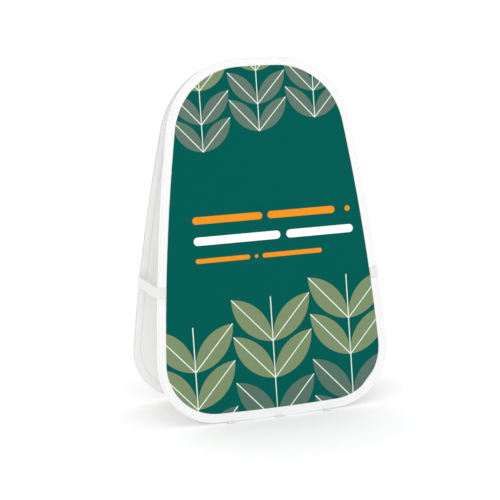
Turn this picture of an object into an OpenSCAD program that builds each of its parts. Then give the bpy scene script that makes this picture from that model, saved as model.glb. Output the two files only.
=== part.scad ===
// Vertical pop-up A-frame banner: two fabric panels on spring hoops, hinged along the top.
// Millimetres. +Z is up, the front panel faces -Y, and the origin is on the floor midway between the panels.

/* [Panel outline] */
// Length of a panel along its slope, from its bottom edge to its top edge
panel_height = 1100; // [1050:5:1150]
// Widest part of a panel
panel_width = 755; // [740:5:770]
// Radius of the shallow arc along the top edge
crown_radius = 1900; // [1800:50:2200]
// Distance of each shoulder arc's centre from the middle line
shoulder_offset = 58.5; // [56:0.5:62]
// Radius of the two upper corners
shoulder_radius = 245; // [240:1:250]
// Radius of the long, slightly bowed sides
side_radius = 6200; // [5800:100:6800]
// Radius of the two lower corners
corner_radius = 187; // [182:1:192]
// Radius of the shallow arc along the bottom edge
bottom_radius = 6000; // [5000:100:8000]

/* [Stance] */
// Lean of each panel from upright
lean = 7.8; // [7:0.1:10]
// Distance between the middle planes of the two panels at their top edges
top_gap = 6; // [6:0.5:10]

/* [Fabric layers] */
// Thickness of the printed outer sheet
print_thickness = 0.6; // [0.4:0.1:0.6]
// Thickness of the white inner sheet
lining_thickness = 0.6; // [0.4:0.1:0.6]
// How far the two sheets stop short of the panel's outer edge, inside the sleeve
sheet_inset = 8; // [7.5:0.5:10]

/* [Edge sleeve] */
// Width of the sewn sleeve around a panel
sleeve_width = 27.5; // [26:0.5:32]
// Thickness of the sleeve's flat part
sleeve_thickness = 2.2; // [2.2:0.1:2.4]
// Radius of the rounded outer edge that holds the hoop
bead_radius = 2.6; // [2.6:0.05:2.7]
// Size in the panel's plane of the channel that the hoop runs in
channel_width = 1.9; // [1.9:0.05:2.1]
// Size of the channel across the panel's plane
channel_height = 4.0; // [3.9:0.05:4.1]
// Height of the stitching that stands on each face of the sleeve
thread_height = 0.2; // [0.1:0.05:0.25]
// Width of a row of stitching
thread_width = 0.6; // [0.4:0.1:0.8]
// Distance from the panel's outer edge to the row of stitching that closes the channel
channel_seam = 6.2; // [6:0.1:8]
// Distance from the panel's outer edge to the row of stitching along the sleeve's inner edge
edge_seam = 25; // [22:0.5:25]

/* [Spring hoop] */
// Thickness of the spring steel strip, in the panel's plane
hoop_thickness = 0.9; // [0.6:0.1:1.0]
// Width of the spring steel strip, across the panel
hoop_width = 3.0; // [2.4:0.1:3.2]
// Gap between the strip's two ends, inside the ferrule
hoop_end_gap = 2; // [1:0.5:4]
// Length of the ferrule that joins the strip's ends
ferrule_length = 30; // [20:1:40]
// Thickness of the ferrule's wall
ferrule_wall = 0.35; // [0.2:0.05:0.35]

/* [Top hinge tape] */
// Length of the tape that joins the panels along the top
tape_length = 180; // [120:5:200]
// Thickness of the tape
tape_thickness = 0.8; // [0.6:0.1:1.0]
// Distance from the panels' top edges down to the fold of the tape
tape_top = 10; // [9:0.5:12]
// Distance from the panels' top edges down to the ends of the tape
tape_bottom = 23; // [20:0.5:24]

/* [Side straps] */
// Width of the webbing strap on each side
strap_width = 32; // [25:1:38]
// Thickness of the strap
strap_thickness = 1.2; // [1.0:0.1:1.5]
// Height of the strap's middle along the panel's slope
strap_height = 414; // [380:2:450]
// Length of the strap's two ends, inward from the panel's outer edge
strap_reach = 27; // [24:0.5:27]
// Thickness of each of the two halves of the hook and loop fastener
fastener_thickness = 0.7; // [0.5:0.05:0.7]

/* [Peg loops] */
// Distance of the outer peg loops from the middle one
loop_spacing = 160; // [140:5:180]
// Width of a peg loop
loop_width = 25; // [20:1:30]
// Thickness of the loop's two layers of webbing where they lie together
loop_thickness = 2.2; // [1.6:0.1:2.4]
// Radius of the round eye at the end of the loop
loop_eye_radius = 2.0; // [1.5:0.1:2.2]
// Thickness of the webbing around the eye
loop_wall = 1.0; // [0.8:0.1:1.2]
// Distance from the loop's root to the middle of its eye
loop_reach = 9; // [8:0.5:14]

/* [Hidden] */

// Clearance between a strap and what it lies over
clear = 0.15;
// Small gap between faces that lie on each other
face_gap = 0.03;
// Clearance between a peg loop's root and the sleeve
root_clear = 0.35;
// Largest distance between a drawn arc and its chords
chord_error = 0.25;

print_green = [0.004, 0.36, 0.33];
lining_white = [0.9, 0.9, 0.88];
sleeve_white = [0.96, 0.96, 0.96];
webbing_white = [0.93, 0.93, 0.92];
thread_white = [0.88, 0.88, 0.87];
spring_steel = [0.55, 0.56, 0.58];
ferrule_steel = [0.75, 0.75, 0.76];

// The outline is eight tangent arcs: bottom, then corner, side and shoulder on each side of the crown.
crown_centre = [0, panel_height - crown_radius];
bottom_centre = [0, bottom_radius];
shoulder_centre = [
    shoulder_offset,
    crown_centre.y + sqrt(pow(crown_radius - shoulder_radius, 2) - pow(shoulder_offset, 2))
];
corner_x = panel_width / 2 - corner_radius;
corner_centre = [corner_x, bottom_radius - sqrt(pow(bottom_radius - corner_radius, 2) - pow(corner_x, 2))];
// The side arc's centre lies where both the shoulder and the corner touch it from inside.
between = corner_centre - shoulder_centre;
between_length = norm(between);
to_shoulder = side_radius - shoulder_radius;
to_corner = side_radius - corner_radius;
along = (pow(between_length, 2) + pow(to_shoulder, 2) - pow(to_corner, 2)) / (2 * between_length);
across = sqrt(pow(to_shoulder, 2) - pow(along, 2));
side_centre = shoulder_centre + (between * along + [between.y, -between.x] * across) / between_length;

function direction(from, to) = atan2(to.y - from.y, to.x - from.x);
crown_end = direction(crown_centre, shoulder_centre);
side_end = direction(side_centre, shoulder_centre);
side_start = direction(side_centre, corner_centre);
bottom_end = direction(bottom_centre, corner_centre);

// Each arc: centre, radius, first angle, last angle, all counter-clockwise
function mirrored(arc) = [[-arc[0].x, arc[0].y], arc[1], 180 - arc[3], 180 - arc[2]];
bottom_arc = [bottom_centre, bottom_radius, -180 - bottom_end, bottom_end];
corner_arc = [corner_centre, corner_radius, bottom_end, side_start];
side_arc = [side_centre, side_radius, side_start, side_end];
shoulder_arc = [shoulder_centre, shoulder_radius, side_end, crown_end];
crown_arc = [crown_centre, crown_radius, crown_end, 180 - crown_end];
outline_arcs = [
    bottom_arc, corner_arc, side_arc, shoulder_arc, crown_arc,
    mirrored(shoulder_arc), mirrored(side_arc), mirrored(corner_arc)
];

// A station is one point of the outline: its arc's centre and radius, and the direction out of the panel there
function arc_stations(arc) = let (
    turn = arc[3] - arc[2],
    steps = max(2, ceil(turn / (2 * acos(1 - chord_error / arc[1]))))
) [for (i = [0 : steps - 1]) let (a = arc[2] + turn * i / steps) [arc[0], arc[1], [cos(a), sin(a)]]];
stations = [for (arc = outline_arcs) each arc_stations(arc)];
function at_station(station, inset) = station[0] + (station[1] - inset) * station[2];
function outline_points(inset) = [for (station = stations) at_station(station, inset)];

// A panel is drawn flat, with X across it, Y up its slope and Z out of its face, and then leaned back.
foot_y = top_gap / 2 + panel_height * sin(lean);
foot_z = bead_radius * (1 - cos(lean));
function on_front(p) = [
    p.x,
    -foot_y + p.y * sin(lean) - p.z * cos(lean),
    foot_z + p.y * cos(lean) + p.z * sin(lean)
];

module front_place() {
    translate([0, -foot_y, foot_z])
        rotate([90 - lean, 0, 0])
            children();
}

module rear_place() {
    rotate([0, 0, 180])
        front_place()
            children();
}

// A closed band that follows the outline between two distances from the outer edge
module band(outer, inner, from, to) {
    translate([0, 0, from])
        linear_extrude(height = to - from)
            difference() {
                polygon(outline_points(outer));
                polygon(outline_points(inner));
            }
}

// The outer edge of both sheets is held between the sleeve's two flaps.
module sheet(from, to) {
    translate([0, 0, from])
        linear_extrude(height = to - from)
            polygon(outline_points(sheet_inset));
}

// The sleeve is one strip folded around the hoop. Section points are [inset, height above the middle plane].
bead_first = -acos(sleeve_thickness / 2 / bead_radius);
bead_steps = 12;
function bead_point(a) = [bead_radius - bead_radius * sin(a), bead_radius * cos(a)];
bead_section = [for (i = [0 : bead_steps]) bead_point(bead_first + (180 - 2 * bead_first) * i / bead_steps)];
channel_outer = bead_radius - channel_width / 2;
channel_inner = bead_radius + channel_width / 2;
sleeve_section = concat(
    [[sleeve_width, sleeve_thickness / 2]],
    bead_section,
    [
        [sleeve_width, -sleeve_thickness / 2],
        [sleeve_width, -lining_thickness - face_gap],
        [channel_inner, -lining_thickness - face_gap],
        [channel_inner, -channel_height / 2],
        [channel_outer, -channel_height / 2],
        [channel_outer, channel_height / 2],
        [channel_inner, channel_height / 2],
        [channel_inner, print_thickness + face_gap],
        [sleeve_width, print_thickness + face_gap]
    ]
);

module sleeve() {
    around = len(stations);
    sides = len(sleeve_section);
    points = [for (station = stations, p = sleeve_section)
        let (q = at_station(station, p[0])) [q.x, q.y, p[1]]];
    faces = [for (i = [0 : around - 1], k = [0 : sides - 1])
        let (j = (i + 1) % around, m = (k + 1) % sides)
            [sides * i + k, sides * i + m, sides * j + m, sides * j + k]];
    color(sleeve_white)
        polyhedron(points = points, faces = faces, convexity = 6);
}

module stitching() {
    face = sleeve_thickness / 2 + face_gap;
    color(thread_white)
        for (inset = [channel_seam, edge_seam]) {
            outer = inset - thread_width / 2;
            band(outer, outer + thread_width, face, face + thread_height);
            band(outer, outer + thread_width, -face - thread_height, -face);
        }
}

// The strip's two ends meet in a ferrule at the middle of the bottom edge.
hoop_outer = bead_radius - hoop_thickness / 2;
module hoop_band() {
    band(hoop_outer, hoop_outer + hoop_thickness, -hoop_width / 2, hoop_width / 2);
}

module hoop() {
    color(spring_steel)
        difference() {
            hoop_band();
            translate([-hoop_end_gap / 2, -1, -hoop_width])
                cube([hoop_end_gap, 2 * bead_radius + 2, 2 * hoop_width]);
        }
}

module ferrule() {
    reach = hoop_width / 2 + ferrule_wall;
    color(ferrule_steel)
        difference() {
            intersection() {
                band(hoop_outer - ferrule_wall, hoop_outer + hoop_thickness + ferrule_wall, -reach, reach);
                translate([-ferrule_length / 2, -1, -hoop_width])
                    cube([ferrule_length, 2 * bead_radius + 2, 2 * hoop_width]);
            }
            hoop_band();
        }
}

module print_sheet() {
    color(print_green)
        sheet(0, print_thickness);
}

module lining_sheet() {
    color(lining_white)
        sheet(-lining_thickness, 0);
}

module front_print() {
    front_place() print_sheet();
}

module front_lining() {
    front_place() lining_sheet();
}

module front_sleeve() {
    front_place() sleeve();
}

module front_sleeve_stitching() {
    front_place() stitching();
}

module front_hoop() {
    front_place() hoop();
}

module front_hoop_ferrule() {
    front_place() ferrule();
}

module rear_print() {
    rear_place() print_sheet();
}

module rear_lining() {
    rear_place() lining_sheet();
}

module rear_sleeve() {
    rear_place() sleeve();
}

module rear_sleeve_stitching() {
    rear_place() stitching();
}

module rear_hoop() {
    rear_place() hoop();
}

module rear_hoop_ferrule() {
    rear_place() ferrule();
}

// The tape is a bridge between the sleeves' inner faces, and its section is drawn looking along X.
tape_face = -(sleeve_thickness / 2 + thread_height + 2 * face_gap);
function tape_section_half() = [
    for (p = [
        [tape_bottom, tape_face],
        [tape_top, tape_face],
        [tape_top + tape_thickness, tape_face - tape_thickness],
        [tape_bottom, tape_face - tape_thickness]
    ]) let (q = on_front([0, panel_height - p[0], p[1]])) [q.y, q.z]
];

module top_hinge_tape() {
    half = tape_section_half();
    other = [for (p = half) [-p.x, p.y]];
    color(webbing_white)
        translate([-tape_length / 2, 0, 0])
            rotate([90, 0, 90])
                linear_extrude(height = tape_length)
                    polygon([half[0], half[1], other[1], other[0], other[3], other[2], half[2], half[3]]);
}

// A strap runs from one panel's outer face, around both beads, to the other panel's outer face.
// Its frame at the panel's edge: the point, the outward direction and the direction up along the edge.
edge_angle = asin((strap_height - side_centre.y) / side_radius);
edge_out = [cos(edge_angle), sin(edge_angle)];
edge_up = [-sin(edge_angle), cos(edge_angle)];
edge_point = side_centre + side_radius * edge_out;

strap_steps = 6;
wrap_radius = bead_radius + clear;
front_face = bead_radius + clear;
rear_face = sleeve_thickness / 2 + thread_height + 2 * face_gap;
// Where the strap leaves the rear sleeve's flat face to climb over the bead
rear_lift = 12;
rear_run = rear_lift - bead_radius;
rear_first = atan2(rear_face, rear_run) - asin(wrap_radius / norm([rear_run, rear_face]));

// Points of the strap's path: [inset, height above the middle plane, slope of its outward normal]
function wrap_points(first) = [for (i = [0 : strap_steps]) let (a = first + (90 - first) * i / strap_steps)
    [bead_radius - wrap_radius * sin(a), wrap_radius * cos(a), a]];
front_path = concat([[strap_reach, front_face, 0]], wrap_points(0));
rear_path = concat(
    [[strap_reach, rear_face, 0], [rear_lift, rear_face, rear_first / 2]],
    wrap_points(rear_first)
);

// One corner of the strap's section: up is along its width, out is its distance from the inner face
function strap_corner(p, up, out) = let (
    inset = p[0] - out * sin(p[2]),
    height = p[1] + out * cos(p[2]),
    flat = edge_point - inset * edge_out + up * edge_up
) on_front([flat.x, flat.y, height]);
function strap_ring(p, side) = [
    for (c = [[-1, 0], [1, 0], [1, 1], [-1, 1]])
        let (q = strap_corner(p, c[0] * strap_width / 2, c[1] * strap_thickness)) [q.x, side * q.y, q.z]
];

module right_strap_solid() {
    last = len(rear_path) - 1;
    rings = concat(
        [for (p = front_path) strap_ring(p, 1)],
        [for (i = [last : -1 : 0]) strap_ring(rear_path[i], -1)]
    );
    count = len(rings);
    walls = [for (i = [0 : count - 2], k = [0 : 3])
        [4 * i + k, 4 * i + (k + 1) % 4, 4 * (i + 1) + (k + 1) % 4, 4 * (i + 1) + k]];
    ends = [[3, 2, 1, 0], [for (k = [0 : 3]) 4 * (count - 1) + k]];
    polyhedron(points = [for (ring = rings) each ring], faces = concat(walls, ends), convexity = 4);
}

module right_strap() {
    color(webbing_white)
        right_strap_solid();
}

module left_strap() {
    color(webbing_white)
        mirror([1, 0, 0])
            right_strap_solid();
}

// The two halves of the fastener lie between the sleeve's flat face and the strap's front end.
pad_outer = 8.5;
pad_inner = min(strap_reach, edge_seam) - 0.7;
module right_pad_solid(layer) {
    base = sleeve_thickness / 2 + face_gap + layer * fastener_thickness;
    front_place()
        translate([edge_point.x, edge_point.y, base])
            rotate([0, 0, edge_angle])
                translate([-pad_inner, -strap_width / 2 + 1, 0])
                    cube([pad_inner - pad_outer, strap_width - 2, fastener_thickness]);
}

module right_loop_pad() {
    color(webbing_white)
        right_pad_solid(0);
}

module right_hook_pad() {
    color(webbing_white)
        right_pad_solid(1);
}

module left_loop_pad() {
    color(webbing_white)
        mirror([1, 0, 0])
            right_pad_solid(0);
}

module left_hook_pad() {
    color(webbing_white)
        mirror([1, 0, 0])
            right_pad_solid(1);
}

// A peg loop lies on the floor in front of the sleeve and turns about its root.
eye_outer = loop_eye_radius + loop_wall;
root_radius = loop_thickness / 2;
root_height = eye_outer;
root_out = bead_radius + root_clear + root_radius;
root_y = foot_y + (root_out - (root_height - foot_z) * sin(lean)) / cos(lean);

module bar_along_x(r, y) {
    translate([0, y, root_height])
        rotate([0, 90, 0])
            cylinder(r = r, h = loop_width, center = true, $fn = 48);
}

module peg_loop(x) {
    eye_y = -root_y - loop_reach;
    color(webbing_white)
        translate([x, 0, 0])
            difference() {
                union() {
                    bar_along_x(root_radius, -root_y);
                    bar_along_x(eye_outer, eye_y);
                    translate([-loop_width / 2, eye_y, root_height - loop_thickness / 2])
                        cube([loop_width, loop_reach, loop_thickness]);
                }
                translate([0, eye_y, root_height])
                    rotate([0, 90, 0])
                        cylinder(r = loop_eye_radius, h = loop_width + 2, center = true, $fn = 48);
            }
}

module front_peg_loop_left() {
    peg_loop(-loop_spacing);
}

module front_peg_loop_middle() {
    peg_loop(0);
}

module front_peg_loop_right() {
    peg_loop(loop_spacing);
}

module rear_peg_loop_left() {
    mirror([0, 1, 0]) peg_loop(-loop_spacing);
}

module rear_peg_loop_middle() {
    mirror([0, 1, 0]) peg_loop(0);
}

module rear_peg_loop_right() {
    mirror([0, 1, 0]) peg_loop(loop_spacing);
}

front_print();
front_lining();
front_sleeve();
front_sleeve_stitching();
front_hoop();
front_hoop_ferrule();
rear_print();
rear_lining();
rear_sleeve();
rear_sleeve_stitching();
rear_hoop();
rear_hoop_ferrule();
top_hinge_tape();
left_strap();
left_hook_pad();
left_loop_pad();
right_strap();
right_hook_pad();
right_loop_pad();
front_peg_loop_left();
front_peg_loop_middle();
front_peg_loop_right();
rear_peg_loop_left();
rear_peg_loop_middle();
rear_peg_loop_right();
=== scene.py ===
"""Looks of the vertical pop-up A-frame banner, in metres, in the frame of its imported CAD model."""

import math

import bmesh
import bpy
import numpy as np
from mathutils import Matrix, Vector, geometry


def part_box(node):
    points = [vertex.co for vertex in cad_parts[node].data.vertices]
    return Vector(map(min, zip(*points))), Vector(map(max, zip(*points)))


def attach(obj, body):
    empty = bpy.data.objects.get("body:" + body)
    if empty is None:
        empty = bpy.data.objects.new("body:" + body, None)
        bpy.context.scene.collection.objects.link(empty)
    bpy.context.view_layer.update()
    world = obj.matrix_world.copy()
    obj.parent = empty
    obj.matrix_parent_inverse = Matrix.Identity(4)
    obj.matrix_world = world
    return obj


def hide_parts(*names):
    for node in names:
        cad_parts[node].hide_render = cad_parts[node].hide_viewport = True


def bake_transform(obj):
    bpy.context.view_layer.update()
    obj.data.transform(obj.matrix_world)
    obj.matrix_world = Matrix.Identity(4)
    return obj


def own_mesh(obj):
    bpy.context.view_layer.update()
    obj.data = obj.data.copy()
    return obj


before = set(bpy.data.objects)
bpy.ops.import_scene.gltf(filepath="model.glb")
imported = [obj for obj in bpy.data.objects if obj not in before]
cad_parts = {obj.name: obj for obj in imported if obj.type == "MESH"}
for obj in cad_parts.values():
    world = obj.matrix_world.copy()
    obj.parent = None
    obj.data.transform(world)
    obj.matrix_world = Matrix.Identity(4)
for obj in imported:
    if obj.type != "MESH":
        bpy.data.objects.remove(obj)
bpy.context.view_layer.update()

MM = 0.001

# ---------------------------------------------------------------- driving sizes, as in the CAD source

PANEL_HEIGHT = 1100 * MM
PANEL_WIDTH = 755 * MM
CROWN_RADIUS = 1900 * MM
SHOULDER_OFFSET = 58.5 * MM
SHOULDER_RADIUS = 245 * MM
SIDE_RADIUS = 6200 * MM
CORNER_RADIUS = 187 * MM
BOTTOM_RADIUS = 6000 * MM
LEAN = math.radians(7.8)
TOP_GAP = 6 * MM
SLEEVE_WIDTH = 27.5 * MM
SLEEVE_HALF = 1.1 * MM
BEAD_RADIUS = 2.6 * MM
SHEET_INSET = 8 * MM
SEAM = 25 * MM
CHANNEL_SEAM = 6.2 * MM
STRAP_WIDTH = 32 * MM
STRAP_THICKNESS = 1.2 * MM
STRAP_HEIGHT = 414 * MM
STRAP_REACH = 27 * MM
TAPE_LENGTH = 180 * MM
TAPE_THICKNESS = 0.8 * MM
LOOP_WIDTH = 25 * MM
LOOP_WALL = 1.0 * MM
LOOP_SPACING = 160 * MM
LOOP_ROOT = 3 * MM
EYE_REACH = 9 * MM
EYE_RADIUS = 2 * MM

FOOT_Y = TOP_GAP / 2 + PANEL_HEIGHT * math.sin(LEAN)
FOOT_Z = BEAD_RADIUS * (1 - math.cos(LEAN))
FRONT_PLACE = Matrix.Translation((0, -FOOT_Y, FOOT_Z)) @ Matrix.Rotation(math.pi / 2 - LEAN, 4, "X")
REAR_PLACE = Matrix.Rotation(math.pi, 4, "Z") @ FRONT_PLACE
PLACES = {"front": FRONT_PLACE, "rear": REAR_PLACE}


# ---------------------------------------------------------------- outline of a panel

def angle_between(start, end):
    return math.atan2(end[1] - start[1], end[0] - start[0])


def outline_arcs():
    """The outline's eight tangent arcs, counter-clockwise from the bottom: centre, radius, both angles."""
    crown = np.array([0, PANEL_HEIGHT - CROWN_RADIUS])
    bottom = np.array([0, BOTTOM_RADIUS])
    reach = CROWN_RADIUS - SHOULDER_RADIUS
    shoulder = np.array([SHOULDER_OFFSET, crown[1] + math.sqrt(reach**2 - SHOULDER_OFFSET**2)])
    corner_x = PANEL_WIDTH / 2 - CORNER_RADIUS
    corner_y = BOTTOM_RADIUS - math.sqrt((BOTTOM_RADIUS - CORNER_RADIUS) ** 2 - corner_x**2)
    corner = np.array([corner_x, corner_y])
    between = corner - shoulder
    length = np.linalg.norm(between)
    to_shoulder, to_corner = SIDE_RADIUS - SHOULDER_RADIUS, SIDE_RADIUS - CORNER_RADIUS
    along = (length**2 + to_shoulder**2 - to_corner**2) / (2 * length)
    across = math.sqrt(to_shoulder**2 - along**2)
    side = shoulder + (between * along + np.array([between[1], -between[0]]) * across) / length
    crown_end = angle_between(crown, shoulder)
    side_end = angle_between(side, shoulder)
    side_start = angle_between(side, corner)
    bottom_end = angle_between(bottom, corner)
    right = [
        (corner, CORNER_RADIUS, bottom_end, side_start),
        (side, SIDE_RADIUS, side_start, side_end),
        (shoulder, SHOULDER_RADIUS, side_end, crown_end),
    ]
    left = [(np.array([-c[0], c[1]]), r, math.pi - b, math.pi - a) for c, r, a, b in reversed(right)]
    return [
        (bottom, BOTTOM_RADIUS, -math.pi - bottom_end, bottom_end),
        *right,
        (crown, CROWN_RADIUS, crown_end, math.pi - crown_end),
        *left,
    ]


ARCS = outline_arcs()
PERIMETER = sum(r * (b - a) for _, r, a, b in ARCS)


class Station:
    """A point of the outline, its outward normal and its distance round the outline."""

    def __init__(self, distance):
        self.distance = distance % PERIMETER
        left = self.distance
        for centre, radius, first, last in ARCS:
            angle = first + left / radius
            if angle <= last:
                break
            left -= radius * (last - first)
        self.normal = np.array([math.cos(angle), math.sin(angle)])
        self.point = centre + radius * self.normal
        self.tightness = 1 / radius

    def inset(self, amount):
        return self.point - amount * self.normal


def stations(count):
    return [Station(PERIMETER * i / count) for i in range(count)]


FINE = stations(900)
FINE_POINTS = np.array([s.point for s in FINE])
FINE_NORMALS = np.array([s.normal for s in FINE])
FINE_DISTANCES = np.array([s.distance for s in FINE])
BATCH = 2000


def edge_coordinates(points):
    """For points in the panel's plane: how far inside the outline each is, and where along the outline."""
    inside, where = np.empty(len(points)), np.empty(len(points))
    for first in range(0, len(points), BATCH):
        batch = slice(first, first + BATCH)
        gap = points[batch][:, None, :] - FINE_POINTS[None]
        nearest = (gap**2).sum(2).argmin(1)
        gap = gap[np.arange(len(gap)), nearest]
        normal = FINE_NORMALS[nearest]
        inside[batch] = -(gap * normal).sum(1)
        where[batch] = FINE_DISTANCES[nearest] + gap[:, 1] * normal[:, 0] - gap[:, 0] * normal[:, 1]
    return inside, where


# ---------------------------------------------------------------- small tools

def waves(u, seed, length, octaves=3):
    """Smooth irregular waves of about the given length along u, between -1 and 1, the same on every run."""
    random = np.random.default_rng(seed)
    total = np.zeros_like(u, dtype=float)
    weight = 0
    for octave in range(octaves):
        strength = 0.6**octave
        for stretch in (0.83, 1.0, 1.27):
            phase = random.uniform(0, 2 * math.pi)
            total += strength * np.sin(2 * math.pi * u / (length * stretch / 1.7**octave) + phase)
            weight += strength
    return total / weight


def smooth_step(x):
    x = np.clip(x, 0, 1)
    return x * x * (3 - 2 * x)


def new_mesh(name, points, faces, materials, indices=None, smooth=True):
    """A mesh object. indices holds each face's place in materials, and is left out if all are the first."""
    mesh = bpy.data.meshes.new(name)
    mesh.from_pydata([tuple(p) for p in points], [], [tuple(f) for f in faces])
    for material in materials:
        mesh.materials.append(material)
    if indices is not None:
        mesh.polygons.foreach_set("material_index", np.asarray(indices, dtype=np.int32))
    mesh.polygons.foreach_set("use_smooth", [smooth] * len(mesh.polygons))
    mesh.update()
    piece = bpy.data.objects.new(name, mesh)
    bpy.context.scene.collection.objects.link(piece)
    return piece


def hand_over(piece, node, body):
    """The piece stands for a CAD node, which it hides, and moves with a body."""
    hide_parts(node)
    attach(piece, body)


def face_outward(piece):
    """Turns a closed mesh's faces outward."""
    shape = bmesh.new()
    shape.from_mesh(piece.data)
    bmesh.ops.recalc_face_normals(shape, faces=shape.faces)
    shape.to_mesh(piece.data)
    shape.free()
    piece.data.update()


def place(points, matrix):
    """Panel points, (across, up the slope, out of the face), in the frame."""
    points = np.asarray(points, dtype=float)
    return points @ np.array(matrix.to_3x3()).T + np.array(matrix.translation)


def lengths_along(points):
    """Distance from the first point to each one, and back to the first."""
    loop = np.vstack([points, points[:1]])
    return np.concatenate([[0], np.cumsum(np.linalg.norm(np.diff(loop, axis=0), axis=1))])


def swept(name, rings, closed_path, material):
    """A solid strip through rings of equal numbers of points, with flat ends if its path is open.

    Its layer "weave" holds the distances along and across the strip, in metres, for the threads to follow."""
    rings = np.array(rings)
    count, size = rings.shape[:2]
    along = lengths_along(rings.mean(1))
    across = lengths_along(rings[count // 2])
    faces, weave = [], []
    for i in range(count if closed_path else count - 1):
        j = (i + 1) % count
        for k in range(size):
            m = (k + 1) % size
            faces.append((size * i + k, size * i + m, size * j + m, size * j + k))
            weave += [(along[i], across[k]), (along[i], across[k + 1]), (along[i + 1], across[k + 1]),
                      (along[i + 1], across[k])]
    if not closed_path:
        for i, order in ((0, range(size - 1, -1, -1)), (count - 1, range(size))):
            faces.append(tuple(size * i + k for k in order))
            weave += [(along[i], across[k]) for k in order]
    piece = new_mesh(name, rings.reshape(-1, 3), faces, [material])
    layer = piece.data.uv_layers.new(name="weave")
    layer.data.foreach_set("uv", np.array(weave, dtype=np.float32).ravel())
    face_outward(piece)
    return piece


# ---------------------------------------------------------------- materials

def linear(red, green, blue):
    """A colour given as 0 to 255 sRGB, in scene-linear values."""
    def one(value):
        value /= 255
        return value / 12.92 if value <= 0.04045 else ((value + 0.055) / 1.055) ** 2.4
    return one(red), one(green), one(blue), 1.0


ALONG_STRIP = "along strip"


class Nodes:
    """A material's node tree with the few helpers that the cloths below need."""

    def __init__(self, name):
        self.material = bpy.data.materials.new(name)
        self.material.use_nodes = True
        self.tree = self.material.node_tree
        self.shader = self.tree.nodes["Principled BSDF"]

    def add(self, kind, **settings):
        node = self.tree.nodes.new(kind)
        for key, value in settings.items():
            setattr(node, key, value)
        return node

    def link(self, source, target):
        self.tree.links.new(source, target)

    def mapped(self, vector, socket, value):
        mapping = self.add("ShaderNodeMapping")
        mapping.inputs[socket].default_value = value
        self.link(vector, mapping.inputs["Vector"])
        return mapping.outputs["Vector"]

    def plane(self, turn):
        """Metres in the cloth's plane: along its strip, or the piece's coordinates turned into its panel."""
        if turn == ALONG_STRIP:
            return self.add("ShaderNodeUVMap", uv_map="weave").outputs["UV"]
        return self.mapped(self.add("ShaderNodeTexCoord").outputs["Object"], "Rotation", turn)

    def noise(self, vector, scale, detail=3, roughness=0.5):
        node = self.add("ShaderNodeTexNoise")
        node.inputs["Scale"].default_value = scale
        node.inputs["Detail"].default_value = detail
        node.inputs["Roughness"].default_value = roughness
        self.link(vector, node.inputs["Vector"])
        return node.outputs["Fac"]

    def bands(self, vector, direction, threads):
        node = self.add("ShaderNodeTexWave", wave_type="BANDS", bands_direction=direction, wave_profile="SIN")
        node.inputs["Scale"].default_value = threads
        self.link(vector, node.inputs["Vector"])
        return node.outputs["Fac"]

    def math(self, operation, first, second):
        node = self.add("ShaderNodeMath", operation=operation)
        for socket, value in zip(node.inputs, (first, second)):
            if isinstance(value, (int, float)):
                socket.default_value = value
            else:
                self.link(value, socket)
        return node.outputs[0]

    def spread(self, value, low, high):
        node = self.add("ShaderNodeMapRange")
        node.inputs["To Min"].default_value = low
        node.inputs["To Max"].default_value = high
        self.link(value, node.inputs["Value"])
        return node.outputs["Result"]

    def tint(self, colour, factor):
        """The colour with its brightness multiplied by a factor socket."""
        node = self.add("ShaderNodeVectorMath", operation="SCALE")
        node.inputs[0].default_value = colour[:3]
        self.link(factor, node.inputs["Scale"])
        self.link(node.outputs["Vector"], self.shader.inputs["Base Color"])

    def bump(self, height, distance, strength=1.0, below=None):
        node = self.add("ShaderNodeBump")
        node.inputs["Distance"].default_value = distance
        node.inputs["Strength"].default_value = strength
        self.link(height, node.inputs["Height"])
        if below is not None:
            self.link(below, node.inputs["Normal"])
        return node.outputs["Normal"]


def cloth(name, colour, turn=ALONG_STRIP, threads=900, depth=0.00008,
          mottle=0.03, speckle=1.6, sheen=0.05, gloss=0.03):
    """Plain-woven cloth: crossing threads, slubs, a faint unevenness of tone, and polyester's soft sheen."""
    n = Nodes(name)
    flat = n.plane(turn)
    weave = n.math("MULTIPLY", n.bands(flat, "X", threads), n.bands(flat, "Y", threads))
    across = n.noise(n.mapped(flat, "Scale", (40, 900, 40)), 1, 2)
    along = n.noise(n.mapped(flat, "Scale", (900, 40, 40)), 1, 2)
    slubs = n.math("ADD", across, along)
    patches = n.noise(flat, 14, 4, 0.6)
    grain = n.noise(flat, 230, 3, 0.7)
    tone = n.math("ADD", n.spread(patches, 1 - mottle, 1 + mottle), n.spread(slubs, -mottle, mottle))
    tone = n.math("ADD", tone, n.spread(grain, -speckle * mottle, speckle * mottle))
    n.tint(colour, n.math("ADD", tone, n.spread(weave, -0.04, 0.02)))
    relief = n.bump(slubs, depth * 2, 0.4)
    n.link(n.bump(weave, depth, 0.7, relief), n.shader.inputs["Normal"])
    n.link(n.spread(patches, 0.8, 0.92), n.shader.inputs["Roughness"])
    n.shader.inputs["Sheen Weight"].default_value = sheen
    n.shader.inputs["Sheen Roughness"].default_value = 0.5
    n.shader.inputs["Specular IOR Level"].default_value = gloss
    return n.material


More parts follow.
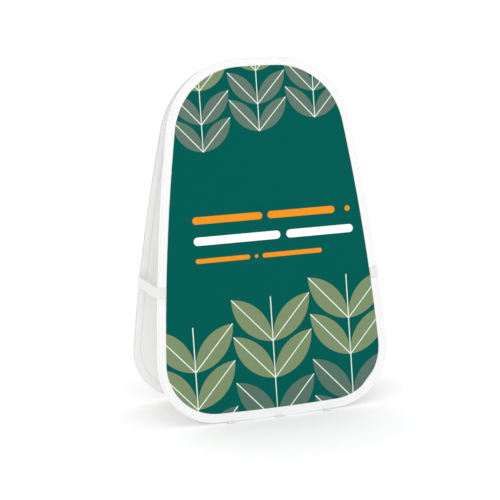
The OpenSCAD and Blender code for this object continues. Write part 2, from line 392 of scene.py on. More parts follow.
def webbing_cloth(name, colour, ribs=250, shortens=False):
    """Narrow woven tape: ribs across it and a finer thread along it.

    A tape that shortens with a joint has relief in its long threads only, because its ribs would steepen."""
    n = Nodes(name)
    flat = n.plane(ALONG_STRIP)
    rib = n.bands(flat, "X", ribs)
    threads = n.bands(flat, "Y", ribs * 2.2)
    weave = n.math("MULTIPLY", rib, n.spread(threads, 0.45, 1.0))
    fuzz = n.noise(flat, 1500, 3, 0.7)
    patches = n.noise(flat, 60, 4, 0.6)
    tone = n.math("ADD", n.spread(patches, 0.97, 1.03), n.spread(fuzz, -0.03, 0.03))
    n.tint(colour, n.math("ADD", tone, n.spread(weave, -0.08, 0.02)))
    if shortens:
        relief = n.bump(threads, 0.0001, 0.6)
    else:
        relief = n.bump(weave, 0.0003, 0.8, n.bump(fuzz, 0.00008, 0.5))
    n.link(relief, n.shader.inputs["Normal"])
    n.link(n.spread(patches, 0.72, 0.85), n.shader.inputs["Roughness"])
    n.shader.inputs["Sheen Weight"].default_value = 0.1
    n.shader.inputs["Specular IOR Level"].default_value = 0.15
    return n.material


def steel(name, colour, roughness, grain):
    """Bright rolled steel with fine marks along the strip."""
    n = Nodes(name)
    marks = n.noise(n.mapped(n.plane((0, 0, 0)), "Scale", grain), 1, 5, 0.7)
    n.tint(colour, n.spread(marks, 0.9, 1.05))
    n.link(n.spread(marks, roughness - 0.08, roughness + 0.12), n.shader.inputs["Roughness"])
    n.link(n.bump(marks, 0.00002, 0.5), n.shader.inputs["Normal"])
    n.shader.inputs["Metallic"].default_value = 1.0
    return n.material


PANEL_TURN = {"front": (-(math.pi / 2 - LEAN), 0, 0), "rear": (-(math.pi / 2 + LEAN), 0, 0)}
GREEN = linear(0, 87, 79)
LEAF_LIGHT = linear(119, 137, 101)
LEAF_GREY = linear(84, 110, 98)
LEAF_GREY_TOP = linear(94, 115, 102)
CREAM = linear(222, 232, 218)
ORANGE = linear(233, 142, 30)
WHITE_INK = linear(246, 248, 246)
# Both sleeves are the same white cloth. The rear one is painted brighter and the front one darker: painted
# light and shade that make up for the shade between the panels.
SLEEVE_WHITES_PAINTED_LIGHT = {"front": linear(237, 237, 237), "rear": linear(252, 252, 252)}
LINING_WHITE = linear(250, 250, 248)
WEBBING_WHITE = linear(232, 232, 230)
# The strap's span is the same webbing as its ends, painted a little darker: painted shade for its side in the
# shade between the panels.
SPAN_WHITE_PAINTED_SHADE = linear(227, 227, 225)
THREAD_WHITE = linear(226, 226, 225)

INKS = ("green", "leaf_light", "leaf_grey", "leaf_grey_top", "cream", "orange", "white")
INK_COLOURS = dict(zip(INKS, (GREEN, LEAF_LIGHT, LEAF_GREY, LEAF_GREY_TOP, CREAM, ORANGE, WHITE_INK)))


def panel_materials(side):
    turn = PANEL_TURN[side]
    made = {ink: cloth(f"{side}_print_{ink}", colour, turn, speckle=6, sheen=0.01)
            for ink, colour in INK_COLOURS.items()}
    made["lining"] = cloth(f"{side}_lining", LINING_WHITE, turn, threads=700, mottle=0.015)
    # Each side's sleeve takes its own white, with painted light and shade in it.
    made["sleeve"] = cloth(f"{side}_sleeve", SLEEVE_WHITES_PAINTED_LIGHT[side], threads=520, depth=0.00015, mottle=0.012)
    return made


MATERIALS = {side: panel_materials(side) for side in PLACES}
THREAD = cloth("thread", THREAD_WHITE, (0, 0, 0), threads=1600, mottle=0.02, gloss=0.2)
WEBBING = webbing_cloth("webbing", WEBBING_WHITE)
# The span's webbing is painted a little darker as painted shade, and has relief in its long threads only.
SPAN_WEBBING = webbing_cloth("webbing_span", SPAN_WHITE_PAINTED_SHADE, shortens=True)
HOOK_LOOP = cloth("hook_and_loop", WEBBING_WHITE, (0, 0, 0), threads=300, depth=0.0004, mottle=0.06,
                  sheen=0.3)
SPRING_STEEL = steel("spring_steel", linear(176, 178, 182), 0.3, (60, 60, 900))
FERRULE_STEEL = steel("ferrule_steel", linear(205, 206, 208), 0.28, (40, 400, 400))


# ---------------------------------------------------------------- relief of the stretched sheets

def sheet_relief(points, side):
    """How far the stretched cloth stands out of its plane: a billow, pulls, and puckers at the seam."""
    points = np.asarray(points, dtype=float)
    inside, where = edge_coordinates(points)
    seed = {"front": 11, "rear": 23}[side]
    depth = inside - SLEEVE_WIDTH
    fade = smooth_step(depth / 0.05)
    pucker = np.exp(-np.clip(depth, 0, None) / 0.022) * smooth_step(depth / 0.004)
    strength = 0.55 + 0.45 * waves(where, seed, 0.4, 2)
    ripples = 0.00055 * strength * waves(where, seed + 1, 0.034, 2) * pucker
    across = points[:, 0] + 0.35 * points[:, 1]
    slow = waves(across, seed + 2, 0.55, 2) * waves(points[:, 1], seed + 3, 0.8, 2)
    pulls = waves(where, seed + 4, 0.16, 2) * np.exp(-np.clip(depth, 0, None) / 0.09) * fade
    return ripples + 0.0016 * slow * fade + 0.0007 * pulls


# ---------------------------------------------------------------- print layout, in the panel's plane

LEAF_WIDTH = 128 * MM
LEAF_RISE = 137 * MM
STEM_SPACING = 256 * MM
PAIR_SPACING = 113 * MM
GROUP_SPACING = 140 * MM
LINE_WIDTH = 3.3 * MM
STEM_SHIFT = -3 * MM
BELOW_PANEL = -20 * MM
TOP_SCALE = 0.72
TOP_STEM_SPACING = 184.5 * MM
LOWER_BASES = {-1: 163 * MM, 0: 233 * MM, 1: 278 * MM}
UPPER_BASES = {-1: 823 * MM, 0: 875 * MM, 1: 906 * MM}


def quarter_arc(start, end, steps=20):
    """Points of a quarter-circle that bulges left on its way from start to end, without the end."""
    start, end = np.array(start), np.array(end)
    chord = end - start
    centre = (start + end) / 2 - np.array([-chord[1], chord[0]]) / 2
    first = start - centre
    turn = -math.pi / 2
    made = []
    for i in range(steps):
        a = turn * i / steps
        made.append(centre + np.array([
            first[0] * math.cos(a) - first[1] * math.sin(a),
            first[0] * math.sin(a) + first[1] * math.cos(a),
        ]))
    return made


def leaf(base, direction, scale):
    """A pointed leaf between two quarter-circles, rising to the left (-1) or right (1) of its base."""
    tip = np.array(base) + np.array([direction * LEAF_WIDTH, LEAF_RISE]) * scale
    return quarter_arc(base, tip) + quarter_arc(tip, base)


def line_between(start, end, width):
    start, end = np.array(start), np.array(end)
    along = (end - start) / np.linalg.norm(end - start)
    side = np.array([-along[1], along[0]]) * width / 2
    return [start - side, end - side, end + side, start + side]


def rounded_bar(left, right, low, high, steps=8):
    radius = min(high - low, right - left) / 2
    made = []
    corners = ((right - radius, low + radius, -90), (right - radius, high - radius, 0),
               (left + radius, high - radius, 90), (left + radius, low + radius, 180))
    for x, y, first in corners:
        for i in range(steps):
            a = math.radians(first + 90 * i / (steps - 1))
            made.append(np.array([x + radius * math.cos(a), y + radius * math.sin(a)]))
    return made


def sprig(x, bases, scale, stem_low):
    """Leaf pairs up a stem, from the top pair down. bases holds (height, ink) for each pair."""
    shapes = []
    for height, ink in bases:
        for direction in (-1, 1):
            shapes.append((ink, leaf((x, height), direction, scale)))
    width = LINE_WIDTH * max(scale, 0.85)
    shapes.append(("cream", line_between((x, stem_low), (x, bases[0][0] + LEAF_RISE * scale), width)))
    for height, _ in bases:
        for direction in (-1, 1):
            tip = (x + direction * LEAF_WIDTH * scale, height + LEAF_RISE * scale)
            shapes.append(("cream", line_between((x, height), tip, width)))
    return shapes


def print_shapes():
    """Every coloured shape of the print: (ink, polygon), later ones lying over earlier ones."""
    shapes = []
    for column, top in LOWER_BASES.items():
        bases = [
            (top, "leaf_light"),
            (top - PAIR_SPACING, "leaf_light"),
            (top - PAIR_SPACING - GROUP_SPACING, "leaf_grey"),
            (top - 2 * PAIR_SPACING - GROUP_SPACING, "leaf_grey"),
        ]
        shapes += sprig(column * STEM_SPACING + STEM_SHIFT, bases, 1, BELOW_PANEL)
    step = PAIR_SPACING * TOP_SCALE
    for column, low in UPPER_BASES.items():
        bases = [
            (low + step + GROUP_SPACING * TOP_SCALE, "leaf_light"),
            (low + step, "leaf_grey_top"),
            (low, "leaf_grey_top"),
        ]
        shapes += sprig(column * TOP_STEM_SPACING + STEM_SHIFT, bases, TOP_SCALE, low)
    return shapes + message_bars()


MESSAGE_LEFT = -237
# Each line's ink, the height of its middle, its thickness, and its bars' ends from MESSAGE_LEFT, in mm.
MESSAGE_LINES = (
    ("orange", 619, 22, ((0, 225), (242, 465))),
    ("white", 556.5, 25, ((0, 280), (300, 523))),
    ("orange", 497, 14, ((2, 177), (218, 414))),
)
# Each dot's ink, place and radius, in mm.
MESSAGE_DOTS = (("orange", 271, 619, 8.5), ("orange", -39, 497, 5.5))


def message_bars():
    """Plain bars and dots in place of a message, with no lettering."""
    shapes = []
    for ink, middle, height, bars in MESSAGE_LINES:
        low, high = (middle - height / 2) * MM, (middle + height / 2) * MM
        for start, end in bars:
            bar = rounded_bar((MESSAGE_LEFT + start) * MM, (MESSAGE_LEFT + end) * MM, low, high)
            shapes.append((ink, bar))
    for ink, x, y, radius in MESSAGE_DOTS:
        circle = [np.array([x + radius * math.cos(a), y + radius * math.sin(a)]) * MM
                  for a in np.linspace(0, 2 * math.pi, 20, endpoint=False)]
        shapes.append((ink, circle))
    return shapes


def sheet_grid(step, inset):
    """Loose points over the inside of the sheet, on a staggered grid."""
    made = []
    count = int(PANEL_WIDTH / step / 2) + 1
    for row in range(int(PANEL_HEIGHT / step) + 1):
        shift = step / 2 if row % 2 else 0
        made += [(i * step + shift, row * step) for i in range(-count, count + 1)]
    points = np.array(made)
    inside, _ = edge_coordinates(points)
    return points[inside > inset]


def border_rings(insets, count):
    """Points along the outline at several insets, so that the puckers by the seam have enough vertices."""
    return [s.inset(d) for d in insets for s in stations(count)]


def counter_clockwise(polygon):
    p = np.array(polygon)
    q = np.roll(p, -1, axis=0)
    area = (p[:, 0] * q[:, 1] - q[:, 0] * p[:, 1]).sum()
    return list(p if area > 0 else p[::-1])


EDGE_STEPS = 300
BORDER_STEPS = 420
BORDER_INSETS = (28.5 * MM, 33 * MM, 39 * MM, 47 * MM)
GRID_STEP = 11 * MM
GRID_INSET = 53 * MM
SAME_POINT = 1e-6


def flat_sheet(shapes):
    """The sheet, cut along the edges of every coloured shape: points, triangles and each one's ink."""
    points, faces = [], []
    edge = [s.inset(SHEET_INSET) for s in stations(EDGE_STEPS)]
    for polygon in [edge] + [polygon for _, polygon in shapes]:
        faces.append(list(range(len(points), len(points) + len(polygon))))
        points += [Vector(p) for p in counter_clockwise(polygon)]
    points += [Vector(p) for p in border_rings(BORDER_INSETS, BORDER_STEPS)]
    points += [Vector(p) for p in sheet_grid(GRID_STEP, GRID_INSET)]
    made, _, triangles, _, _, sources = geometry.delaunay_2d_cdt(points, [], faces, 0, SAME_POINT)
    kept, inks = [], []
    for triangle, source in zip(triangles, sources):
        if 0 not in source:
            continue
        kept.append(triangle)
        uppermost = max(source)
        inks.append(INKS.index(shapes[uppermost - 1][0]) if uppermost else 0)
    return np.array([tuple(p) for p in made]), kept, inks


def thick_sheet(name, side, sheet, low, high, materials):
    """A closed sheet between two heights over the panel's middle plane, following its relief."""
    flat, triangles, inks = sheet
    used = sorted({v for t in triangles for v in t})
    order = {v: i for i, v in enumerate(used)}
    base = flat[used]
    count = len(base)
    lift = sheet_relief(base, side)
    bottom = np.column_stack([base, lift + low])
    top = np.column_stack([base, lift + high])
    tops = [tuple(count + order[v] for v in t) for t in triangles]
    bottoms = [tuple(order[v] for v in reversed(t)) for t in triangles]
    edges = {(order[t[k]], order[t[(k + 1) % 3]]): True for t in triangles for k in range(3)}
    rim = [(a, b, count + b, count + a) for a, b in edges if (b, a) not in edges]
    indices = list(inks) + [0] * (len(bottoms) + len(rim))
    points = place(np.concatenate([bottom, top]), PLACES[side])
    return new_mesh(name, points, tops + bottoms + rim, materials, indices)


# Heights of the print's two faces over the panel's middle plane. The lining's are as far below it.
SHEET_NEAR, SHEET_FAR = 0.05 * MM, 0.5 * MM


def build_sheets():
    printed, plain = flat_sheet(print_shapes()), flat_sheet([])
    made = {}
    for side in PLACES:
        inks = [MATERIALS[side][ink] for ink in INKS]
        outer = thick_sheet(f"{side}_print_cloth", side, printed, SHEET_NEAR, SHEET_FAR, inks)
        lining = [MATERIALS[side]["lining"]]
        inner = thick_sheet(f"{side}_lining_cloth", side, plain, -SHEET_FAR, -SHEET_NEAR, lining)
        hand_over(outer, f"{side}_print", side)
        hand_over(inner, f"{side}_lining", side)
        made[side] = (outer, inner)
    return made


SHEETS = build_sheets()


# ---------------------------------------------------------------- sleeves and their stitching

SLEEVE_WALL = 0.45 * MM
SLEEVE_STEPS = 760
FLAP_ROUND = (0.3 * MM, 0.25 * MM)
FLAP_INSETS = (25.6, 25.0, 24.4, 21, 17, 13, 9.5, 7.5)
# The upper half of the hoop's channel, from the flaps out to the edge, as (inset, height) in mm.
CHANNEL_MOUTH = 4.2 * MM
CHANNEL = ((3.7, 1.95), (1.5, 1.95), (0.7, 0))


def sleeve_section():
    """The folded strip's section as (inset, height): outer face, bead, inner face, and the inside."""
    run = CHANNEL_SEAM - BEAD_RADIUS
    reach = math.hypot(run, SLEEVE_HALF)
    first = math.atan2(SLEEVE_HALF, run) + math.acos(BEAD_RADIUS / reach) - math.pi / 2
    outer = [(SLEEVE_WIDTH, SLEEVE_HALF - FLAP_ROUND[1]), (SLEEVE_WIDTH - FLAP_ROUND[0], SLEEVE_HALF)]
    outer += [(inset * MM, SLEEVE_HALF) for inset in FLAP_INSETS]
    outer.append((CHANNEL_SEAM, SLEEVE_HALF))
    bead = []
    for a in np.linspace(first, math.pi - first, 17):
        bead.append((BEAD_RADIUS * (1 - math.sin(a)), BEAD_RADIUS * math.cos(a)))
    back = [(inset, -height) for inset, height in reversed(outer)]
    inner_face = SLEEVE_HALF - SLEEVE_WALL
    upper = [(inset * MM, height * MM) for inset, height in CHANNEL]
    lower = [(inset, -height) for inset, height in upper[:-1]]
    inner = [(SLEEVE_WIDTH, -inner_face), (CHANNEL_MOUTH, -inner_face), *lower, *reversed(upper)]
    inner += [(CHANNEL_MOUTH, inner_face), (SLEEVE_WIDTH, inner_face)]
    return outer, bead, back, inner


def sleeve_lift(inset, where, tightness, side, face):
    """How far a flap stands off between its seams: slow waves, and gathers that are stronger in the corners."""
    seed = {"front": 40, "rear": 60}[side] + (5 if face > 0 else 0)
    between_seams = smooth_step((inset - CHANNEL_SEAM) / (4 * MM)) * smooth_step((SEAM - inset) / (5 * MM))
    corner = smooth_step((tightness - 1) / 3)
    gathers = (0.35 + 0.65 * corner) * waves(where, seed, 0.021, 2)
    slow = waves(where + inset * 1.5, seed + 2, 0.09, 2)
    return between_seams * (0.22 + 0.24 * gathers + 0.1 * slow) * MM


def build_sleeve(side):
    """The sleeve, swept round the outline. Only its flaps are lifted, and their edges wave a little."""
    outer, bead, back, inner = sleeve_section()
    section = outer + bead + back + inner
    faces = [1] * len(outer) + [0] * len(bead) + [-1] * len(back) + [0] * len(inner)
    path = stations(SLEEVE_STEPS)
    where = np.array([s.distance for s in path])
    tight = np.array([s.tightness for s in path])
    tight = np.convolve(np.concatenate([tight[-9:], tight, tight[:9]]), np.ones(19) / 19, "same")[9:-9]
    lifts = np.zeros((len(path), len(section)))
    for k, ((inset, _), face) in enumerate(zip(section, faces)):
        if face:
            lifts[:, k] = face * sleeve_lift(np.full(len(path), inset), where, tight, side, face)
    edge_wave = 0.25 * MM * waves(where, 90 + (side == "rear"), 0.05, 3)
    rings = []
    for i, s in enumerate(path):
        ring = []
        for k, (inset, height) in enumerate(section):
            stray = edge_wave[i] if inset > SEAM + 0.4 * MM else 0
            p = s.inset(inset + stray)
            ring.append((p[0], p[1], height + lifts[i, k]))
        rings.append(place(ring, PLACES[side]))
    piece = swept(f"{side}_sleeve_cloth", rings, True, MATERIALS[side]["sleeve"])
    hand_over(piece, f"{side}_sleeve", side)
    return piece


def stitch_mesh(name, stitches, side):
    """A mesh of raised stitches. stitches holds (points, mirrored) for each, in panel coordinates.

    A stitch is five cross-sections of four points, and a mirrored one has its faces the other way round."""
    points, faces = [], []
    for stitch, mirrored in stitches:
        first = len(points)
        made = []
        for j in range(first, first + 16, 4):
            made += [(j + k, j + (k + 1) % 4, j + (k + 1) % 4 + 4, j + k + 4) for k in range(4)]
        made += [(first + 3, first + 2, first + 1, first), (first + 16, first + 17, first + 18, first + 19)]
        faces += [face[::-1] for face in made] if mirrored else made
        points += stitch
    piece = new_mesh(name, place(points, PLACES[side]), faces, [THREAD])
    face_outward(piece)
    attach(piece, side)
    return piece


SLEEVE_PITCH = 3.6 * MM


def sleeve_stitch(distance, inset, face):
    """One lockstitch on a face of the sleeve, at a distance round the outline."""
    length, width, rise = 2.9 * MM, 0.5 * MM, 0.22 * MM
    s = Station(distance)
    along = np.array([-s.normal[1], s.normal[0]])
    points = []
    for step, high in ((-0.5, 0.25), (-0.32, 0.9), (0, 1.0), (0.32, 0.9), (0.5, 0.25)):
        for across, up in ((-0.5, 0), (-0.3, 1), (0.3, 1), (0.5, 0)):
            p = s.inset(inset) + along * step * length + s.normal * across * width * (0.4 + 0.6 * high)
            points.append((p[0], p[1], face * (SLEEVE_HALF - 0.05 * MM + up * rise * high)))
    return points


def build_sleeve_stitches(side):
    """Both rows of stitches on both faces of the sleeve, the inner face's set between the outer face's."""
    count = int(PERIMETER / SLEEVE_PITCH)
    stitches = []
    for inset in (SEAM, CHANNEL_SEAM):
        for face in (1, -1):
            for i in range(count):
                distance = PERIMETER * (i + 0.5 * (face < 0)) / count
                stitches.append((sleeve_stitch(distance, inset, face), face < 0))
    piece = stitch_mesh(f"{side}_stitches", stitches, side)
    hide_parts(f"{side}_sleeve_stitching")
    return piece


def paint_hoops(side):
    for node, material in (("hoop", SPRING_STEEL), ("hoop_ferrule", FERRULE_STEEL)):
        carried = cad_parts[f"{side}_{node}"]
        carried.data.materials.clear()
        carried.data.materials.append(material)


def build_edges():
    """Sleeves, stitches and hoops of both panels."""
    for side, sheets in SHEETS.items():
        sleeve = build_sleeve(side)
        stitches = build_sleeve_stitches(side)
        paint_hoops(side)


build_edges()


# ---------------------------------------------------------------- side straps, hinge tape and peg loops

# A strip's section with its rounded selvedges, in widths across and thicknesses outward.
RIBBON = (
    (-0.5, 0.25), (-0.5, 0.75), (-0.485, 0.95), (-0.46, 1.0), (-0.43, 0.94), (-0.25, 0.97), (0, 1.0),
    (0.25, 0.97), (0.43, 0.94), (0.46, 1.0), (0.485, 0.95), (0.5, 0.75), (0.5, 0.25), (0.485, 0.05),
    (0.46, 0.0), (0.25, 0.03), (0, 0.0), (-0.25, 0.03), (-0.46, 0.0), (-0.485, 0.05),
)
# Where webbing sewn on a sleeve's flap begins, over the panel's middle plane.
ON_FLAP = SLEEVE_HALF + 0.26 * MM


def ribbon(name, path, width, thickness, material, matrix=None):
    """A strip of webbing. path holds (middle of the inner face, across, outward) at each stop, in metres."""
    rings = []
    for middle, across, outward in path:
        ring = [np.array(middle) + np.array(across) * width * a + np.array(outward) * thickness * b
                for a, b in RIBBON]
        rings.append(np.array(ring) if matrix is None else place(ring, matrix))
    return swept(name, rings, False, material)


def strap_frame(side):
    """Where the strap crosses a panel's edge, in panel coordinates: the point, outward, and up the edge."""
    centre = ARCS[2][0]
    angle = math.asin((STRAP_HEIGHT - centre[1]) / SIDE_RADIUS)
    out = np.array([math.cos(angle), math.sin(angle), 0])
    up = np.array([-math.sin(angle), math.cos(angle), 0])
    point = np.array([*centre, 0]) + SIDE_RADIUS * out
    flip = np.array([side, 1, 1])
    return point * flip, out * flip, up * flip


FACE_UP = np.array([0, 0, 1])
WRAP_RADIUS = BEAD_RADIUS + 0.15 * MM
# The insets at which the strap leaves its flat run, at its front and rear ends.
FRONT_LIFT = BEAD_RADIUS + 0.01 * MM
REAR_LIFT = 12 * MM
STRAP_OVERLAP = 1.5 * MM
STRAP_BOW = 0.9 * MM
STRAP_SAG = 1.6 * MM
SPAN_STEPS = 48


def strap_end_path(side, face, lift_from):
    """A strap's end: flat at the height face up to the inset lift_from, then a quarter turn round the bead."""
    point, out, up = strap_frame(side)
    run = lift_from - BEAD_RADIUS
    start = 0
    if face < WRAP_RADIUS:
        start = math.atan2(face, run) - math.asin(WRAP_RADIUS / math.hypot(run, face))
    stops = [(inset, face, 0) for inset in np.linspace(STRAP_REACH, lift_from + 1 * MM, 10)]
    stops.append((lift_from, face, start / 2))
    for a in np.linspace(start, math.pi / 2, 9):
        stops.append((BEAD_RADIUS - WRAP_RADIUS * math.sin(a), WRAP_RADIUS * math.cos(a), a))
    path = []
    for inset, height, slope in stops:
        normal = out * math.sin(slope) + FACE_UP * math.cos(slope)
        path.append((point - inset * out + height * FACE_UP, up, normal))
    return path


STRAP_PITCH = 3.2 * MM
BOX_MARGIN = 2.6 * MM


def strap_stitch(start, along):
    """One stitch on a strap's end, from its start along its share of the row."""
    width, rise = 0.5 * MM, 0.28 * MM
    across = np.cross(FACE_UP, along / np.linalg.norm(along))
    points = []
    for step, high in ((0.05, 0.2), (0.25, 0.9), (0.5, 1.0), (0.75, 0.9), (0.95, 0.2)):
        for side, lift in ((-0.5, -0.2), (-0.3, 1), (0.3, 1), (0.5, -0.2)):
            points.append(start + along * (0.08 + 0.84 * step) + across * width * side * (0.4 + 0.6 * high)
                          + FACE_UP * rise * high * lift)
    return points


def box_stitch(name, side, near, far, height, crossed, body):
    """A box of stitches on a strap's end between two insets, with a cross in it if crossed is set."""
    point, out, up = strap_frame(side)
    reach = STRAP_WIDTH / 2 - BOX_MARGIN
    corners = [point - inset * out + shift * up + height * FACE_UP
               for inset, shift in ((near, -reach), (near, reach), (far, reach), (far, -reach))]
    lines = [(corners[i], corners[(i + 1) % 4]) for i in range(4)]
    if crossed:
        lines += [(corners[0], corners[2]), (corners[1], corners[3])]
    stitches = []
    for start, end in lines:
        count = max(1, round(np.linalg.norm(end - start) / STRAP_PITCH))
        along = (end - start) / count
        stitches += [(strap_stitch(start + along * i, along), False) for i in range(count)]
    stitch_mesh(name, stitches, body)


def in_frame(matrix, stop):
    """A path's stop, given in panel coordinates, in the frame."""
    middle, up, normal = stop
    turn = np.array(matrix.to_3x3())
    return turn @ middle + np.array(matrix.translation), turn @ up, turn @ normal


def span_path(side, first, last):
    """The strap between the panels, bowed and sagging a little, from one end's last stop to the other's."""
    start, first_up, first_out = first
    stop, last_up, last_out = last
    path = []
    for t in np.linspace(0, 1, SPAN_STEPS + 1):
        u = smooth_step(t)
        slack = math.sin(math.pi * t)
        middle = start * (1 - t) + stop * t + slack * np.array([side * STRAP_BOW, 0, -STRAP_SAG])
        across = first_up * (1 - u) + last_up * u
        outward = first_out * (1 - u) + last_out * u + [0, 0, 0.08 * slack * math.sin(3 * math.pi * t)]
        across /= np.linalg.norm(across)
        outward -= across * (outward @ across)
        outward /= np.linalg.norm(outward)
        path.append((middle + outward * 0.05 * MM, across, outward))
    return path


def build_strap(name, side):
    """Three pieces: the front end and wrap, the span between the panels, and the rear end and wrap."""
    front = strap_end_path(side, WRAP_RADIUS, FRONT_LIFT)
    rear = strap_end_path(-side, ON_FLAP, REAR_LIFT)
    first, last = in_frame(FRONT_PLACE, front[-1]), in_frame(REAR_PLACE, rear[-1])
    for path in (front, rear):
        middle, up, normal = path[-1]
        path.append((middle - STRAP_OVERLAP * FACE_UP, up, normal))
    node = f"{name}_strap"
    front_end = ribbon(f"{node}_front_end", front, STRAP_WIDTH, STRAP_THICKNESS, WEBBING, FRONT_PLACE)
    rear_end = ribbon(f"{node}_rear_end", rear, STRAP_WIDTH, STRAP_THICKNESS, WEBBING, REAR_PLACE)
    path = span_path(side, first, last)
    span = ribbon(f"{node}_span", path, STRAP_WIDTH - 0.2 * MM, STRAP_THICKNESS - 0.1 * MM, SPAN_WEBBING)
    for piece, body in ((front_end, "front"), (span, "front"), (rear_end, "rear")):
        hand_over(piece, node, body)
    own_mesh(span)
    front_seam = WRAP_RADIUS + STRAP_THICKNESS
    box_stitch(f"{node}_front_stitches", side, 10 * MM, 24 * MM, front_seam, False, "front")
    rear_seam = ON_FLAP + STRAP_THICKNESS
    box_stitch(f"{node}_rear_stitches", -side, 14 * MM, 25 * MM, rear_seam, True, "rear")


# Each half of the fastener, and the heights of its two faces over the front panel's middle plane.
PADS = {"loop_pad": (1.14 * MM, 1.82 * MM), "hook_pad": (1.84 * MM, 2.62 * MM)}
PAD_COLUMNS, PAD_ROWS = 17, 31
PAD_INSETS = np.linspace(24.3, 8.5, PAD_COLUMNS) * MM
PAD_HEIGHTS = np.linspace(-15, 15, PAD_ROWS) * MM
PILE = 0.22 * MM
PAD_RIM = 0.25 * MM


def pad_faces():
    """Faces of a slab with an upper and a lower grid of points."""
    columns, rows = PAD_COLUMNS, PAD_ROWS
    count = rows * columns
    faces = []
    for j in range(rows - 1):
        for i in range(columns - 1):
            a = j * columns + i
            quad = (a, a + 1, a + columns + 1, a + columns)
            faces += [quad, tuple(count + v for v in reversed(quad))]
    rim = [(i, 0) for i in range(columns)] + [(columns - 1, j) for j in range(1, rows)]
    rim += [(i, rows - 1) for i in range(columns - 2, -1, -1)] + [(0, j) for j in range(rows - 2, 0, -1)]
    rim = [j * columns + i for i, j in rim]
    return faces + [(b, a, count + a, count + b) for a, b in zip(rim, rim[1:] + rim[:1])]


def build_pads(name, side):
    """The two halves of the fastener, as slabs with a rough pile between them."""
    point, out, up = strap_frame(side)
    random = np.random.default_rng(7 if side > 0 else 8)
    for pad, (base, top) in PADS.items():
        upper, lower = [], []
        for j, height in enumerate(PAD_HEIGHTS):
            for i, inset in enumerate(PAD_INSETS):
                at_rim = i in (0, PAD_COLUMNS - 1) or j in (0, PAD_ROWS - 1)
                pile = PILE * random.random()
                middle = point - inset * out + height * up
                upper.append(middle + FACE_UP * (top - (PAD_RIM if at_rim else pile)))
                lower.append(middle + FACE_UP * base)
        piece = new_mesh(f"{name}_{pad}_pile", place(upper + lower, FRONT_PLACE), pad_faces(), [HOOK_LOOP])
        face_outward(piece)
        hand_over(piece, f"{name}_{pad}", "front")


TAPE_ENDS = (23 * MM, 11.5 * MM)
TAPE_RISE = 1.75 * MM


def tape_section():
    """The hinge tape's outer face, from the front panel to the rear one, as (y, z) in the frame."""
    half = []
    for inset in np.linspace(*TAPE_ENDS, 7):
        slope = PANEL_HEIGHT - inset
        half.append((-FOOT_Y + slope * math.sin(LEAN) + ON_FLAP * math.cos(LEAN),
                     FOOT_Z + slope * math.cos(LEAN) - ON_FLAP * math.sin(LEAN)))
    y, z = half[-1]
    arch = [(y * (1 - math.sin(a)), z + TAPE_RISE * math.sin(a)) for a in np.linspace(0, math.pi / 2, 7)[1:]]
    half += arch[:-1]
    return np.array(half + [(0.0, arch[-1][1])] + [(-p, q) for p, q in reversed(half)])


def build_tape():
    """The hinge tape, sewn inside both sleeves and arched between them."""
    upper = tape_section()
    tangent = np.gradient(upper, axis=0)
    tangent /= np.linalg.norm(tangent, axis=1)[:, None]
    lower = upper - np.column_stack([-tangent[:, 1], tangent[:, 0]]) * TAPE_THICKNESS
    section = np.vstack([upper, lower[::-1]])
    rings = []
    for x in np.linspace(-TAPE_LENGTH / 2, TAPE_LENGTH / 2, 61):
        stray = 0.15 * MM * waves(np.array([x]), 301, 0.02, 2)[0]
        rings.append(np.array([(x, y, z + stray) for y, z in section]))
    piece = swept("top_hinge_tape_cloth", rings, False, WEBBING)
    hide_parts("top_hinge_tape")
    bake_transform(piece)


LOOP_HALF = 0.55 * MM
LOOP_FLAT = 2.8 * MM
LOOP_TUCK = 1.1 * MM


def loop_path():
    """The folded webbing of a peg loop, as (outward, height) round its eye, from the root and back to it."""
    radius = EYE_RADIUS + LOOP_WALL / 2
    dx, dy = EYE_REACH - LOOP_FLAT, -LOOP_HALF
    turn = math.atan2(dy, dx) + math.pi - math.acos(radius / math.hypot(dx, dy))
    upper = [(u, LOOP_HALF) for u in np.linspace(-LOOP_TUCK, LOOP_FLAT, 7)]
    upper += [(EYE_REACH + radius * math.cos(a), radius * math.sin(a)) for a in np.linspace(turn, 0, 12)]
    return upper + [(u, -v) for u, v in reversed(upper[:-1])]


def build_loops():
    """The six peg loops, placed so that their outer ends are the CAD loops' ends."""
    flat = np.array(loop_path())
    tangent = np.gradient(flat, axis=0)
    tangent /= np.linalg.norm(tangent, axis=1)[:, None]
    for face, sign in (("front", -1), ("rear", 1)):
        low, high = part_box(f"{face}_peg_loop_middle")
        reach = high.y if sign > 0 else -low.y
        root = reach - EYE_REACH - EYE_RADIUS - LOOP_WALL
        for name, x in (("left", -LOOP_SPACING), ("middle", 0), ("right", LOOP_SPACING)):
            path = []
            for (u, v), (tu, tv) in zip(flat, tangent):
                outward = np.array([0, -sign * tv, tu])
                middle = np.array([x, sign * (root + u), LOOP_ROOT + v]) - outward * LOOP_WALL / 2
                path.append((middle, (1, 0, 0), outward))
            node = f"{face}_peg_loop_{name}"
            piece = ribbon(f"{node}_webbing", path, LOOP_WIDTH, LOOP_WALL, WEBBING)
            hand_over(piece, node, node)


for strap_name, strap_side in (("left", -1), ("right", 1)):
    build_strap(strap_name, strap_side)
    build_pads(strap_name, strap_side)
build_tape()
build_loops()


# ---------------------------------------------------------------- camera, floor and light

CAMERA_AT = Vector((-1.8349, -4.7088, 1.5280))
CAMERA_YAW = math.radians(-21.0)
CAMERA_PITCH = math.radians(11.58)
CAMERA_ROLL = math.radians(-0.99)
LENS = 120
SENSOR = 36
FARTHEST = 60
FLOOR_HALF = 90
WORLD_STRENGTH = 1.05


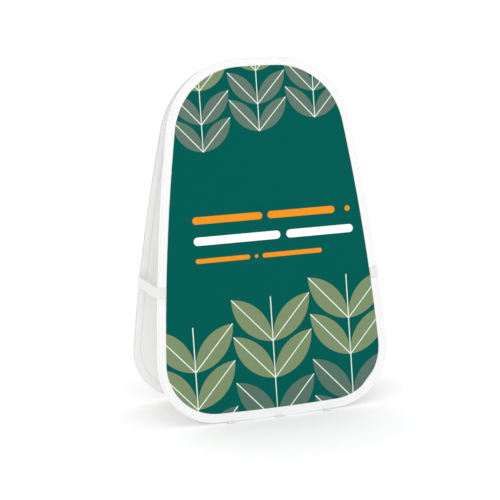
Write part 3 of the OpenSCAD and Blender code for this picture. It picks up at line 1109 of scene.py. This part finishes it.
def build_camera():
    """A long lens to the left of the front panel, looking a little down."""
    back = Vector((
        math.sin(CAMERA_YAW) * math.cos(CAMERA_PITCH),
        -math.cos(CAMERA_YAW) * math.cos(CAMERA_PITCH),
        math.sin(CAMERA_PITCH),
    ))
    right = Vector((math.cos(CAMERA_YAW), math.sin(CAMERA_YAW), 0))
    up = back.cross(right)
    c, s = math.cos(CAMERA_ROLL), math.sin(CAMERA_ROLL)
    right, up = right * c + up * s, up * c - right * s
    data = bpy.data.cameras.new("camera")
    data.lens = LENS
    data.sensor_width = SENSOR
    data.clip_end = FARTHEST
    camera = bpy.data.objects.new("camera", data)
    camera.matrix_world = Matrix.Translation(CAMERA_AT) @ Matrix((right, up, back)).transposed().to_4x4()
    bpy.context.scene.collection.objects.link(camera)
    bpy.context.scene.camera = camera


def build_floor():
    corners = [(x * FLOOR_HALF, y * FLOOR_HALF, 0) for x, y in ((-1, -1), (1, -1), (1, 1), (-1, 1))]
    floor = new_mesh("floor", corners, [(0, 1, 2, 3)], [], smooth=False)
    n = Nodes("floor")
    n.tint((0.95, 0.95, 0.95), n.spread(n.noise(n.plane((0, 0, 0)), 3, 2), 0.998, 1.002))
    n.shader.inputs["Roughness"].default_value = 0.95
    n.shader.inputs["Specular IOR Level"].default_value = 0.0
    floor.data.materials.append(n.material)


def sun(name, azimuth, elevation, strength, spread):
    """A soft parallel light. azimuth is 0 straight in front and positive to the right. Angles in degrees."""
    data = bpy.data.lights.new(name, "SUN")
    data.energy = strength
    data.angle = math.radians(spread)
    lamp = bpy.data.objects.new(name, data)
    a, e = math.radians(azimuth), math.radians(elevation)
    source = Vector((math.sin(a) * math.cos(e), -math.cos(a) * math.cos(e), math.sin(e)))
    lamp.rotation_mode = "QUATERNION"
    lamp.rotation_quaternion = source.to_track_quat("Z", "Y")
    bpy.context.scene.collection.objects.link(lamp)


def build_light():
    """An even white studio, a soft key from the left of the camera, and a wide light from above."""
    world = bpy.data.worlds.new("studio")
    world.use_nodes = True
    background = world.node_tree.nodes["Background"]
    background.inputs["Color"].default_value = (1, 1, 1, 1)
    background.inputs["Strength"].default_value = WORLD_STRENGTH
    bpy.context.scene.world = world
    sun("key", azimuth=-42, elevation=26, strength=0.38, spread=40)
    sun("overhead", azimuth=0, elevation=88, strength=0.25, spread=120)
    bpy.context.scene.view_settings.view_transform = "Standard"


build_camera()
build_floor()
build_light()
